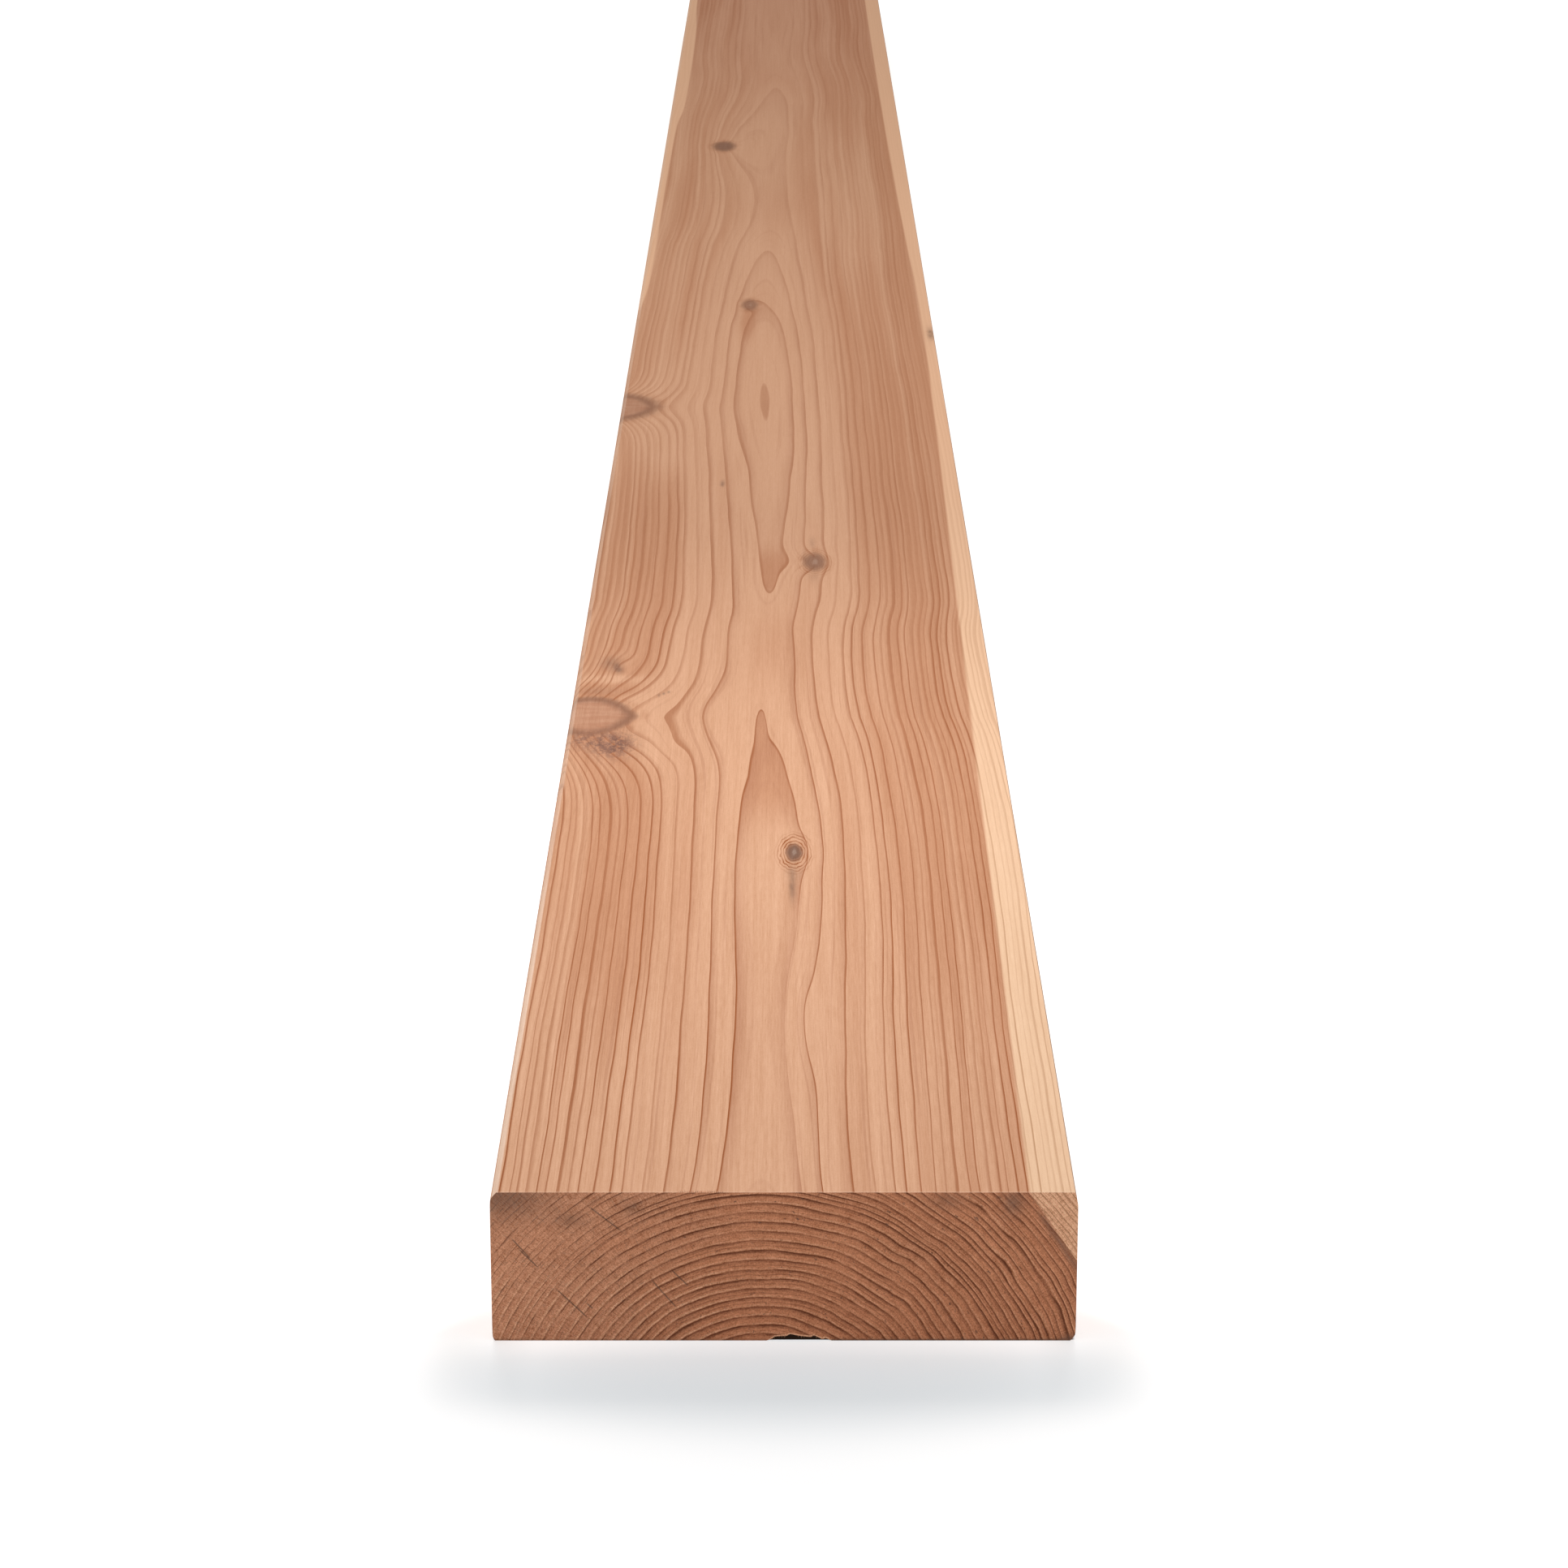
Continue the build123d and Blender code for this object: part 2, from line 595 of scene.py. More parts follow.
class Wood:
    """The wood figure in a finish: where a point lies among rings, knots, stains and sapwood."""

    def __init__(self, finish):
        self.finish = finish
        self.place = finish.scale(finish.output("ShaderNodeTexCoord", which="Object"), 1 / METRES)
        self.across, middle, self.up = finish.parts(self.place)
        self.along = middle + LENGTH / 2
        self.share = self.along / LENGTH
        self.below = THICKNESS - self.up
        self.branches()
        self.rings()

    def branches(self):
        """Adds up how far the branches pull the rings out, and finds the nearest one's edge and darkness."""
        squeezed = self.finish.join(self.across, self.along / SQUEEZE, self.up)
        self.pull = 0.0
        self.edge = 1000.0
        self.knot = 1000.0
        self.dark = 0.0
        for knot in KNOTS:
            base = np.array((knot.across, knot.along / SQUEEZE, THICKNESS))
            axis = np.array((knot.across - curve_at(PITH_ACROSS, knot.along), 0.0, BRANCH_RISE))
            axis /= np.linalg.norm(axis)
            offset = self.finish.vector("SUBTRACT", squeezed, base)
            offset = self.finish.vector("DIVIDE", offset, (knot.wide, 1.0, knot.wide))
            run = self.finish.dot(offset, axis)
            off_axis = (self.finish.dot(offset, offset) - run * run).most(0.0)
            beside = (self.along - knot.along).size() / SQUEEZE
            blunted = beside * beside / (beside * beside + (BLUNT * knot.reach) ** 2).root()
            around = off_axis.root()
            pulled = (off_axis - beside * beside + blunted * blunted).most(0.0).root() + blunted * POINTED
            self.pull = (pulled * pulled * (-1 / knot.reach**2)).exp() * knot.pull + self.pull
            distance = around + beside * knot.point
            self.edge = (distance - knot.core).least(self.edge)
            self.knot = (distance / knot.core).least(self.knot)
            self.dark = distance.step(knot.core + 6.0, knot.core + 4.0) * knot.dark + self.dark

    def rings(self):
        """Counts the rings out from the pith."""
        finish = self.finish
        push = 0.0
        for height, turns, phase in RIPPLES:
            push = (finish.dot(self.place, turns) + phase).sine() * height + push
        across = self.across + push - finish.along_curve(PITH_ACROSS, self.share)
        deep = self.below / RIPPLE_DEPTH
        above = finish.along_curve(PITH_DEPTH, self.share) - self.below + push * deep.least(1.0)
        radius = (across * across + above * above).root()
        beyond = radius + across * LEAN - self.pull - self.on_top(SWELLINGS) - SECOND_RING
        outer = beyond.most(0.0)
        close = beyond.least(0.0).most(-CLOSE_RINGS)
        inner = (beyond + CLOSE_RINGS).least(0.0)
        ring = outer * (outer * CROWDING + OUTER_RATE) + close * CLOSE_RATE + inner * INNER_RATE + 2.0
        sway = 0.0
        for height, turns, phase in YEARS:
            sway = (ring * turns + phase).sine() * height + sway
        self.ring = sway * ring.step(3.0, 6.0) + ring
        self.around = across.angle(above) * SECOND_RING
        self.radius = radius
        self.from_pith = across

    def sapwood(self, softness):
        """1 in the sapwood at either edge, 0 in the heartwood."""
        right = self.across - self.finish.along_curve(SAP_RIGHT, self.share)
        left = -self.across - self.finish.along_curve(SAP_LEFT, self.share)
        return (right.most(left) - self.below * SAP_SLANT).step(-softness, softness)

    def spots(self, listed, second):
        """The sum of soft spots, listed by their middle across and on a second axis, half sizes and strength."""
        total = 0.0
        for across, middle, half_width, half_length, strength in listed:
            side = (self.across - across) / half_width
            length = (second - middle) / half_length
            total = (-(side * side + length * length)).exp() * strength + total
        return total

    def on_top(self, listed):
        """Spots on the top face that fade out below it."""
        return self.spots(listed, self.along) * self.below.step(14.0, 4.0)

    def noise(self, pitch, detail=2.0, roughness=0.5):
        """Noise in the board's own axes."""
        return self.finish.noise(self.place, pitch, detail, roughness)

    def shaded(self, colour, tone, shares, level):
        """A colour made lighter and darker by a tone about 0, by its own share in each channel."""
        channels = [tone * share + level for share in shares]
        return self.finish.vector("MULTIPLY", colour, self.finish.join(*channels))


def curve_at(points, along):
    """The value of a list of distances and values at a distance along the board."""
    return np.interp(along, *zip(*points, strict=True))


class PlanedWood(Wood):
    """Redwood on the planed faces."""

    def __init__(self, look, sizes):
        super().__init__(Finish("redwood_planed"))
        self.look = look
        self.sizes = sizes
        self.phase = self.ring.fraction()
        self.dice = self.finish.dice(self.ring.floor())
        self.patchy = self.noise((14.0, 130.0, 14.0)).step(-0.5, 0.5)
        self.drift = self.noise((40.0, 420.0, 40.0))
        self.rough = self.noise((1.6, 6.0, 1.6))
        self.near = self.along.step(260.0, 60.0)
        self.far = self.along.step(150.0, 900.0)
        self.distant = self.along.step(800.0, 1600.0)
        self.sap = self.sapwood(0.6)

    def material(self):
        """Lays the colours over each other and ends in fine fibres."""
        colour = self.sap_edges(self.ring_lines(self.heartwood()))
        colour = self.eased_edges(self.torn_grain(self.knots(colour)))
        fibres = self.noise((0.6, 60.0, 0.6), 3.0, 0.6)
        streaks = self.noise((2.2, 120.0, 2.2))
        fleck = self.noise((0.28, 9.0, 0.28), 2.0, 0.6)
        grain = self.noise((0.25, 0.7, 0.25), 1.0)
        tone = fibres * 0.30 + streaks * 0.16 + fleck * 0.26 + grain * 0.14
        tone = tone * (0.6 - self.far * 0.3 - self.sap * 0.25) + self.drift * 0.06
        colour = self.shaded(colour, tone, (0.8, 1.15, 1.45), 1.0)
        height = fibres * 0.5 + fleck * 0.5 + self.torn * self.tears * 3.0
        return self.finish.surface(colour, fibres * 0.06 + 0.58, height, 0.00008, 0.0)

    def heartwood(self):
        """Pale and redder bands and patches, two redder tongue tips in the middle, and fine red lines."""
        finish, look = self.finish, self.look
        bands = finish.noise(finish.join(self.ring * 0.5, self.share * 2.5, 0.0), (1.0, 1.0, 1.0))
        sides = self.ring.step(1.5, 7.0) * 0.3 + self.across.step(20.0, 56.0) * 0.33
        patches = self.on_top(WARM) - self.near * 0.1
        tips = self.along.step(255.0, 345.0) * self.along.step(440.0, 420.0)
        tips = (self.along.step(570.0, 585.0) * self.along.step(680.0, 600.0)).most(tips)
        tongue = self.ring.step(1.02, 0.96) * tips
        warmth = bands * 1.1 + self.drift * 0.5 + sides + patches + tongue * 1.05 + 0.08
        colour = finish.mix(warmth.step(0.0, 1.0), look.earlywood, look.warm_wood)
        fine = finish.noise(finish.join(self.ring, self.share * 9.0, 0.0), (0.2, 1.0, 1.0), 2.0, 0.6)
        return finish.mix(fine.step(0.08, 0.38) * (0.38 - self.far * 0.2), colour, look.latewood)

    def ring_lines(self, colour):
        """Red shading that leads up to each thin dark ring line, fainter towards the far end."""
        finish, look, phase, far = self.finish, self.look, self.phase, self.far
        heavy = self.dice * self.dice * 0.4 + self.ring.step(3.2, 1.6) * 0.1 + 0.13
        heavy = heavy * (1.0 - self.on_top(CALM))
        leading = phase.step(0.2, 1.0) ** 4.0 * (1.0 - far) + phase.step(0.1, 1.0) ** 2.4 * far
        shading = leading * heavy * (self.patchy * 0.8 + 0.5) * (1.0 - far * 0.3 - self.distant * 0.25)
        colour = finish.mix(shading, colour, look.latewood)
        width = (self.from_pith.size() * 0.0048 + 0.028) * (far * 1.8 + 1.0)
        line = ((1.0 - phase) / width).step(1.0, 0.3) * phase.step(1.0, 0.99)
        faint = self.ring.step(1.55, 1.45) * self.across.step(-3.0, 0.0) * self.along.step(250.0, 200.0)
        fade = (1.0 - far * 0.68 - self.distant * 0.2) * (1.0 - faint * 0.85)
        strength = (self.dice * 0.5 + 0.32) * (self.patchy * 0.3 + 0.8) * (self.near * 0.15 + 1.0)
        self.line = line * strength * fade
        colour = finish.mix(self.line, colour, look.ring_line)
        # Painted shade: darker and redder towards the far end
        return finish.mix(self.along.step(1500.0, 2400.0), colour, look.far_painted_shade, "MULTIPLY")

    def sap_edges(self, colour):
        """Sapwood along the edges, browner towards the far end, with its own ring lines."""
        finish, look = self.finish, self.look
        pale = finish.mix(self.far, look.sapwood, look.far_sapwood)
        pale = finish.mix(self.line * 0.8, pale, look.sap_line)
        return finish.mix(self.sap, colour, pale)

    def knots(self, colour):
        """Knots with a brown or black heart, a rim and a ringed collar, and the stains about them."""
        finish, look, far, rough = self.finish, self.look, self.far, self.rough
        edge = self.edge + rough * 0.5
        ratio = self.knot + rough * 0.07
        grained = self.noise((9.0, 3.4, 9.0)).step(-0.4, 0.5)
        brown = finish.mix(grained * 0.6, look.knot_wood, look.latewood)
        brown = finish.mix(ratio.step(0.62, 0.92) * 0.8, brown, look.knot_rim)
        mottled = rough * 0.9 + ratio.step(0.1, 0.55) * 0.8 + self.distant * 0.8 + 0.1
        black = finish.mix(mottled.step(0.0, 0.8), look.knot_grey, look.knot_heart)
        heart = finish.mix((self.dark * (1.0 - far * 0.25)).least(1.0), brown, black)
        soft = far * 1.6 + 0.4
        inside = (edge / soft).step(1.0, -1.0)
        outline = edge / (soft + 0.35)
        rim = outline.step(-1.3, -0.1) * outline.step(1.2, 0.1)
        halo = self.noise((3.0, 11.0, 3.0), 1.0).step(-0.5, 0.4)
        ringed = (edge * 7.4 + rough * 0.4).sine().step(0.0, 1.0)
        ringed = ringed * (1.0 - far) * (1.0 - self.dark.step(0.3, 0.0))
        collar = edge.step(4.4, 1.8) * (ringed * (halo * 0.5 + 0.55) + halo * 0.2)
        colour = finish.mix(collar, colour, look.ring_line)
        colour = finish.mix(inside * 0.95, colour, heart)
        colour = finish.mix(rim * (0.6 - far * 0.3), colour, look.knot_rim)
        stains = self.on_top(STAINS) * (rough * 0.5 + 0.8)
        return finish.mix(stains.least(1.0), colour, look.knot_heart)

    def torn_grain(self, colour):
        """Dark torn grain beside the large knot."""
        finish, look = self.finish, self.look
        self.torn = self.on_top(TORN).least(1.0)
        self.tears = self.noise((0.9, 1.8, 0.9), 3.0, 0.7)
        blotch = self.noise((2.4, 6.0, 2.4), 2.0, 0.6)
        ripped = (blotch * 0.8 + self.tears * 0.9).step(-0.4, 0.3)
        colour = finish.mix(self.torn * 0.6, colour, look.latewood)
        colour = finish.mix(self.torn * ripped, colour, look.torn_wood)
        lifted = (blotch - self.tears).step(0.25, 0.55) * 0.35
        return finish.mix(self.torn * lifted, colour, look.earlywood)

    def eased_edges(self, colour):
        """A paler near edge line, painted light on the left bevel and painted shade on the right one."""
        finish, look, sizes = self.finish, self.look, self.sizes
        # A paler line along the near end's upper edge, in the left bevel's colour
        colour = finish.mix(self.along.step(1.0, 0.3) * 0.2, colour, look.left_painted_light)
        # Painted light: the left bevel is paler, more so towards the near end
        corner = WIDTH / 2 + THICKNESS - sizes.eased_edge
        painted_bevel_light = self.along.step(420.0, 120.0) * 0.55 + 0.3
        bevel = (self.up - self.across).step(corner - 0.5, corner - 0.1) * painted_bevel_light
        colour = finish.mix(bevel, colour, look.left_painted_light)
        # Painted shade: the right bevel is darker and greyer
        corner = WIDTH / 2 + (THICKNESS - sizes.right_edge_height) * sizes.right_edge_share
        slope = self.across + self.up * sizes.right_edge_share
        return finish.mix(slope.step(corner - 0.12, corner) * 0.7, colour, look.right_painted_shade)


class SawnWood(Wood):
    """Redwood end grain on the sawn ends."""

    def __init__(self, look):
        super().__init__(Finish("redwood_sawn_end"))
        self.look = look
        self.near = self.along.step(60.0, 20.0)
        self.left = self.across.step(-6.0, -42.0)
        self.polar = self.finish.join(self.around, self.radius, self.along)
        kinks = self.ringwise((11.0, 22.0, 90.0), 1.0) * (self.across.step(8.0, 45.0) * 0.5 + 0.1)
        self.kinked = self.ring + kinks + self.ringwise((2.4, 0.9, 60.0), 2.0, 0.6) * 0.08
        self.phase = self.kinked.fraction()
        self.rays = self.ringwise((0.2, 3.6, 60.0), 2.0, 0.6)
        self.rows = self.ringwise((4.0, 0.24, 60.0), 2.0, 0.6)
        self.speck = self.noise((0.27, 9.0, 0.27), 2.0, 0.7)
        self.cloud = self.noise((14.0, 90.0, 9.0))

    def ringwise(self, pitch, detail=2.0, roughness=0.5):
        """Noise whose lumps lie round the pith, out from it and along the board."""
        return self.finish.noise(self.polar, pitch, detail, roughness)

    def material(self):
        """Lays the colours over each other and ends in fine rays and specks."""
        colour = self.gaps(self.stains(self.end_grain()))
        tone = self.speck * 0.85 + self.rays * (self.left * 0.4 + 0.3) + self.rows * 0.6 + self.cloud * 0.15
        colour = self.shaded(colour, tone, (0.85, 1.1, 1.3), 0.97)
        height = self.hard * 0.12 + self.speck * 0.35 - self.gap * 0.9
        return self.finish.surface(colour, self.speck * 0.05 + 0.72, height, 0.00015, 0.15)

    def end_grain(self):
        """Dark ring bands and lines, the pale lines after them, and sapwood."""
        finish, look, phase = self.finish, self.look, self.phase
        dice = finish.dice(self.kinked.floor())
        other = finish.dice(self.kinked.floor() + 50.0)
        broken = self.ringwise((6.0, 2.0, 60.0)).step(-0.25, 0.3)
        patchy = self.ringwise((16.0, 3.0, 60.0)).step(-0.5, 0.4)
        clear = (self.across.step(-58.0, -16.0) * 0.8 + 0.18) * (patchy * 0.75 + 0.42)
        band = phase.step(0.48, 0.84) * phase.step(1.02, 0.88)
        line = phase.step(0.79, 0.88) * phase.step(1.0, 0.92)
        double = phase.step(0.30, 0.38) * phase.step(0.52, 0.42) * other.step(0.4, 0.6)
        banded = (band * (dice * 0.5 + 0.4) + double * 0.4) * clear
        self.hard = banded + line * (clear * 0.4 + self.left * broken * 0.6)
        crisp = self.across.step(-10.0, -24.0) * self.up.step(24.0, 10.0)
        pale = phase.step(0.0, 0.04) * phase.step(0.24, 0.08) * (clear * 0.8 + crisp * 0.8 + 0.15)
        crest = phase.step(0.0, 0.05) * phase.step(0.26, 0.10) * crisp * (broken * 0.6 + 0.4)
        warmth = (self.cloud * 0.8 + self.across.step(-62.0, 0.0)).step(0.0, 1.0)
        colour = finish.mix(warmth, look.end_wood, look.end_warm)
        colour = finish.mix(self.hard.least(1.0), colour, look.end_line)
        colour = finish.mix((pale * 0.6).least(0.9), colour, look.end_pale)
        colour = finish.mix(crest * 0.7, colour, look.end_sap)
        sap = finish.mix(band * 0.55 + line * 0.2, look.end_sap, look.end_sap_line)
        return finish.mix(self.sapwood(0.5), colour, sap)

    def stains(self, colour):
        """Grey stains on the near end and at the sapwood, and painted shade along the bottom edge."""
        stain = self.spots(END_STAINS_AND_SHADE, self.up)
        edge = self.across - self.below * SAP_SLANT - SAP_RIGHT[0][1]
        stain = edge.step(-2.6, -1.0) * edge.step(0.3, -0.8) * self.below.step(3.0, 8.0) * 0.7 + stain
        # Painted shade: a dark line along the bottom edge of the near end
        stain = self.up.step(0.7, 0.2) * (self.across.step(4.0, 14.0) * 0.5 + 0.5) + stain
        uneven = self.rows * 0.7 + self.speck * 0.5 + 0.75
        return self.finish.mix((stain * self.near).least(1.0) * uneven, colour, self.look.end_stain_and_shade)

    def gaps(self, colour):
        """Hairline checks, finer cracks at the left, pits in the rings, and the tear-out's pale lip."""
        finish = self.finish
        check = 0.0
        for start, stop in CHECKS:
            check = self.split(start, stop).most(check)
        hair = self.rays.step(0.27, 0.4).most(self.rows.step(0.27, 0.4)) * self.left * 0.7
        strewn = self.ringwise((13.0, 1.3, 60.0)).step(-0.05, 0.35) * self.across.step(-50.0, -12.0)
        pits = self.ringwise((1.2, 0.75, 30.0), 1.0).step(0.28, 0.4) * self.phase.step(0.96, 0.8) * strewn
        self.gap = (check * self.near).most(hair).most(pits)
        colour = finish.mix(self.gap * 0.8, colour, self.look.end_stain_and_shade)
        lip = Value(finish, finish.output("ShaderNodeAttribute", {"attribute_name": "lip"}, None, "Fac"))
        return finish.mix(lip.step(0.05, 0.35) * 0.9, colour, self.look.end_sap)

    def split(self, start, stop):
        """1 on a hairline check between two points of the end, fading at its tips."""
        run = np.subtract(stop, start)
        length = math.hypot(*run)
        across = self.across - start[0]
        up = self.up - start[1]
        side = across * (run[1] / length) - up * (run[0] / length)
        along = across * (run[0] / length**2) + up * (run[1] / length**2)
        return side.size().step(0.24, 0.05) * along.step(-0.02, 0.2) * along.step(1.02, 0.8)


def ring_number(across, along, up):
    """About the ring count that the finishes show, without knots and swellings, for arrays in millimetres."""
    push = np.zeros_like(across)
    for height, turns, phase in RIPPLES:
        push += height * np.sin(across * turns[0] + (along - LENGTH / 2) * turns[1] + up * turns[2] + phase)
    from_pith = across + push - curve_at(PITH_ACROSS, along)
    above = up - THICKNESS + curve_at(PITH_DEPTH, along)
    above += push * np.minimum((THICKNESS - up) / RIPPLE_DEPTH, 1)
    beyond = np.hypot(from_pith, above) + LEAN * from_pith - SECOND_RING
    outer = np.maximum(beyond, 0)
    close = np.clip(beyond, -CLOSE_RINGS, 0)
    inner = np.minimum(beyond + CLOSE_RINGS, 0)
    ring = 2 + outer * (OUTER_RATE + CROWDING * outer) + close * CLOSE_RATE + inner * INNER_RATE
    sway = sum(height * np.sin(ring * turns + phase) for height, turns, phase in YEARS)
    return ring + sway * np.clip((ring - 3) / 3, 0, 1)


class BoardMesh:
    """Points and faces of the board, in millimetres: two ends, and rings of points between them."""

    def __init__(self, sizes):
        self.sizes = sizes
        columns = np.linspace(-1, 1, sizes.columns + 1)
        rows = np.linspace(0, THICKNESS, sizes.rows + 1)
        upper_left = self.bevel(THICKNESS - rows, sizes.eased_edge)
        left = self.bevel(rows, sizes.lower_left_edge) + upper_left - WIDTH / 2
        upper_right = self.bevel(THICKNESS - rows, sizes.right_edge_height) * sizes.right_edge_share
        right = WIDTH / 2 - self.bevel(rows, sizes.lower_right_edge) - upper_right
        self.across = left[:, None] + (right - left)[:, None] * (columns[None, :] + 1) / 2
        self.up = np.repeat(rows[:, None], sizes.columns + 1, axis=1)
        self.points = []
        self.faces = []
        self.places = []
        self.slots = []
        self.count = 0

    def bevel(self, height, eased):
        """How far an eased edge stands in at a height from the face that it eases."""
        soft = self.sizes.edge_softness
        slope = eased - height
        excess = (np.sqrt(eased**2 + soft**2) - eased) / 2
        return (slope + np.sqrt(slope**2 + soft**2)) / 2 - excess * (height <= 0)

    def lift(self, across, along):
        """Height of the tear-out's roof over the bottom face."""
        sizes = self.sizes
        shares, heights = zip(*SPLINTERS, strict=True)
        left = sizes.tear_offset - sizes.tear_width / 2
        roof = np.interp((across - left) / sizes.tear_width, shares, heights, 0, 0) * sizes.tear_height
        return np.maximum(roof - sizes.tear_height * along / sizes.tear_run, 0)

    def placed(self, across, along, up):
        """Points of the section at a distance along the board, raised over the tear-out."""
        roof = self.lift(across, along)
        raised = up + roof * np.clip(1 - up / TEAR_BEND, 0, 1)
        lip = np.clip(roof / LIP_HEIGHT, 0, 1) * (up <= 0)
        return np.stack(np.broadcast_arrays(across, along - LENGTH / 2, raised, lip), axis=-1)

    def add_points(self, points):
        numbers = np.arange(self.count, self.count + points[..., 0].size).reshape(points.shape[:-1])
        self.points.append(points.reshape(-1, 4))
        self.count += numbers.size
        return numbers

    def add_faces(self, corners, places, slot):
        """Adds faces by their corners' numbers and places on the texture map."""
        self.faces += corners.tolist()
        self.places.append(np.stack(np.broadcast_arrays(*places), axis=-1).reshape(-1, 2))
        self.slots += [slot] * len(corners)

    @staticmethod
    def round_loop(grid):
        """The border of a grid, from its lower left corner to the right, up and back."""
        return np.concatenate((grid[0, :-1], grid[:-1, -1], grid[-1, :0:-1], grid[:0:-1, 0]))

    @staticmethod
    def quads(grid):
        """Corners of a grid's faces, which look towards -Y, as rows of four."""
        corners = (grid[:-1, :-1], grid[:-1, 1:], grid[1:, 1:], grid[1:, :-1])
        return np.stack(corners, axis=-1).reshape(-1, 4)

    def end(self, step, along, outward, corner, size):
        """Adds a sawn end and returns the numbers of its border points."""
        across = self.across[::step, ::step]
        up = self.up[::step, ::step]
        border = np.minimum(np.minimum(up, THICKNESS - up), WIDTH / 2 - np.abs(across))
        relief = self.end_relief(across, along, up) * np.clip(border / RELIEF_BORDER, 0, 1)
        points = self.placed(across, along, up)
        points[..., 1] += outward * relief
        grid = self.add_points(points)
        corners = self.quads(grid)
        chosen = corners if outward < 0 else corners[:, ::-1]
        flat_across = across.ravel()[chosen - grid[0, 0]]
        flat_up = up.ravel()[chosen - grid[0, 0]]
        map_across = corner[0] + (flat_across / WIDTH + 0.5) * size[0]
        map_up = corner[1] + flat_up / THICKNESS * size[1]
        self.add_faces(chosen, (map_across, map_up), 1)
        return self.round_loop(grid)

    def end_relief(self, across, along, up):
        """Hard rings and saw marks on an end, in millimetres."""
        phase = ring_number(across, along, up) % 1
        hard = np.clip((phase - 0.55) / 0.4, 0, 1) * np.clip((1 - phase) / 0.05, 0, 1)
        saw = np.sin(np.hypot(across - SAW_MIDDLE[0], up - SAW_MIDDLE[1]) * SAW_TURNS)
        return self.sizes.end_relief * (hard - 0.4) + SAW_HEIGHT * saw

    def build(self):
        """Adds the near end, the long faces and the far end."""
        near = self.end(1, 0.0, -1, *NEAR_END_MAP)
        stops = self.stops()
        across = self.round_loop(self.across[::2, ::2])
        up = self.round_loop(self.up[::2, ::2])
        rings = [self.add_points(self.placed(across, along, up)) for along in stops[1:-1]]
        far = self.end(2, LENGTH, 1, *FAR_END_MAP)
        steps = np.hypot(np.diff(np.append(across, across[0])), np.diff(np.append(up, up[0])))
        unrolled = np.append(0, np.cumsum(steps)) / steps.sum()
        first, last = unrolled[:-1], unrolled[1:]
        half = (first + last) / 2
        rise = LONG_FACES_MAP[0] + np.array(stops) / LENGTH * LONG_FACES_MAP[1]
        middle, after = near[1::2], np.roll(near[::2], -1)
        corners = np.stack((near[::2], rings[0], np.roll(rings[0], -1), after, middle), axis=-1)
        sides = np.stack((first, first, last, last, half), axis=-1)
        heights = np.array((rise[0], rise[1], rise[1], rise[0], rise[0]))
        self.add_faces(corners, (sides, heights), 0)
        sides = np.stack((first, first, last, last), axis=-1)
        for stop, (ring, other) in enumerate(zip(rings, [*rings[1:], far], strict=True), 1):
            corners = np.stack((ring, other, np.roll(other, -1), np.roll(ring, -1)), axis=-1)
            heights = np.array((rise[stop], rise[stop + 1], rise[stop + 1], rise[stop]))
            self.add_faces(corners, (sides, heights), 0)

    @staticmethod
    def stops():
        """Distances along the board where its section is set down, close together at the ends."""
        close = (0, 0.4, 1.2, 2.5, 4, 6, 8, 11, 14, 17, 20, 23, 26, 29, 32, 35, 40, 50, 65, 85)
        even = np.arange(110, LENGTH - 100, 30)
        return [*close, *even, *(LENGTH - np.array(close[:6])[::-1] * 12)]

    def to_mesh(self, name):
        mesh = bpy.data.meshes.new(name)
        points = np.concatenate(self.points)
        mesh.from_pydata((points[:, :3] * METRES).tolist(), [], self.faces)
        mesh.attributes.new("lip", "FLOAT", "POINT").data.foreach_set("value", points[:, 3])
        mesh.polygons.foreach_set("material_index", self.slots)
        mesh.polygons.foreach_set("use_smooth", [True] * len(self.faces))
        layer = mesh.uv_layers.new(name="OFBake")
        layer.uv.foreach_set("vector", np.concatenate(self.places).ravel())
        mesh.update()
        mesh.set_sharp_from_angle(angle=math.radians(60))
        return mesh


def new_object(name, data):
    """Adds an object to the scene."""
    made = bpy.data.objects.new(name, data)
    bpy.context.scene.collection.objects.link(made)
    return made


class REDWOOD_OT_board(bpy.types.Operator):
    """Build the board with its planed faces and sawn ends"""

    bl_idname = "redwood.board"
    bl_label = "Build Board"

    def execute(self, context):
        look = context.scene.redwood_finish
        shape = BoardMesh(context.scene.redwood_board)
        shape.build()
        board = new_object("redwood_board", shape.to_mesh("redwood_board"))
        board.data.materials.append(PlanedWood(look, context.scene.redwood_board).material())
        board.data.materials.append(SawnWood(look).material())
        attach(board, "root")
        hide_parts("board")
        return {"FINISHED"}


def fuzz_lines(sizes, splinter):
    """A mesh of lines where fibres grow. Its lean is each fibre's way and length."""
    near = LOW[1] * METRES
    lines = []
    for start, stop, count, length in FUZZ:
        for row in range(count):
            back = near + (FIRST_ROW + ROW_STEP * row) * METRES
            across = np.linspace(start, stop, LINE_POINTS) * METRES
            points = [(x, back, (HIGH[2] - ROOT_DEPTH) * METRES) for x in across]
            lines.append((points, EDGE_LEAN * length * METRES))
    left = sizes.tear_offset - sizes.tear_width / 2
    lip = [(left + share * sizes.tear_width, height * sizes.tear_height) for share, height in SPLINTERS[1:-1]]
    back = near + TEAR_ROOT[0] * METRES
    points = [(x * METRES, back, (up + TEAR_ROOT[1]) * METRES) for x, up in lip]
    lines.append((points, TEAR_LEAN * splinter))
    places = [point for points, _ in lines for point in points]
    leans = [lean for points, lean in lines for _ in points]
    edges = []
    for points, _ in lines:
        first = edges[-1][1] + 1 if edges else 0
        edges += [(first + step, first + step + 1) for step in range(len(points) - 1)]
    mesh = bpy.data.meshes.new("fuzz_lines")
    mesh.from_pydata(places, edges, [])
    mesh.attributes.new("lean", "FLOAT_VECTOR", "POINT").data.foreach_set("vector", np.ravel(leans))
    return mesh


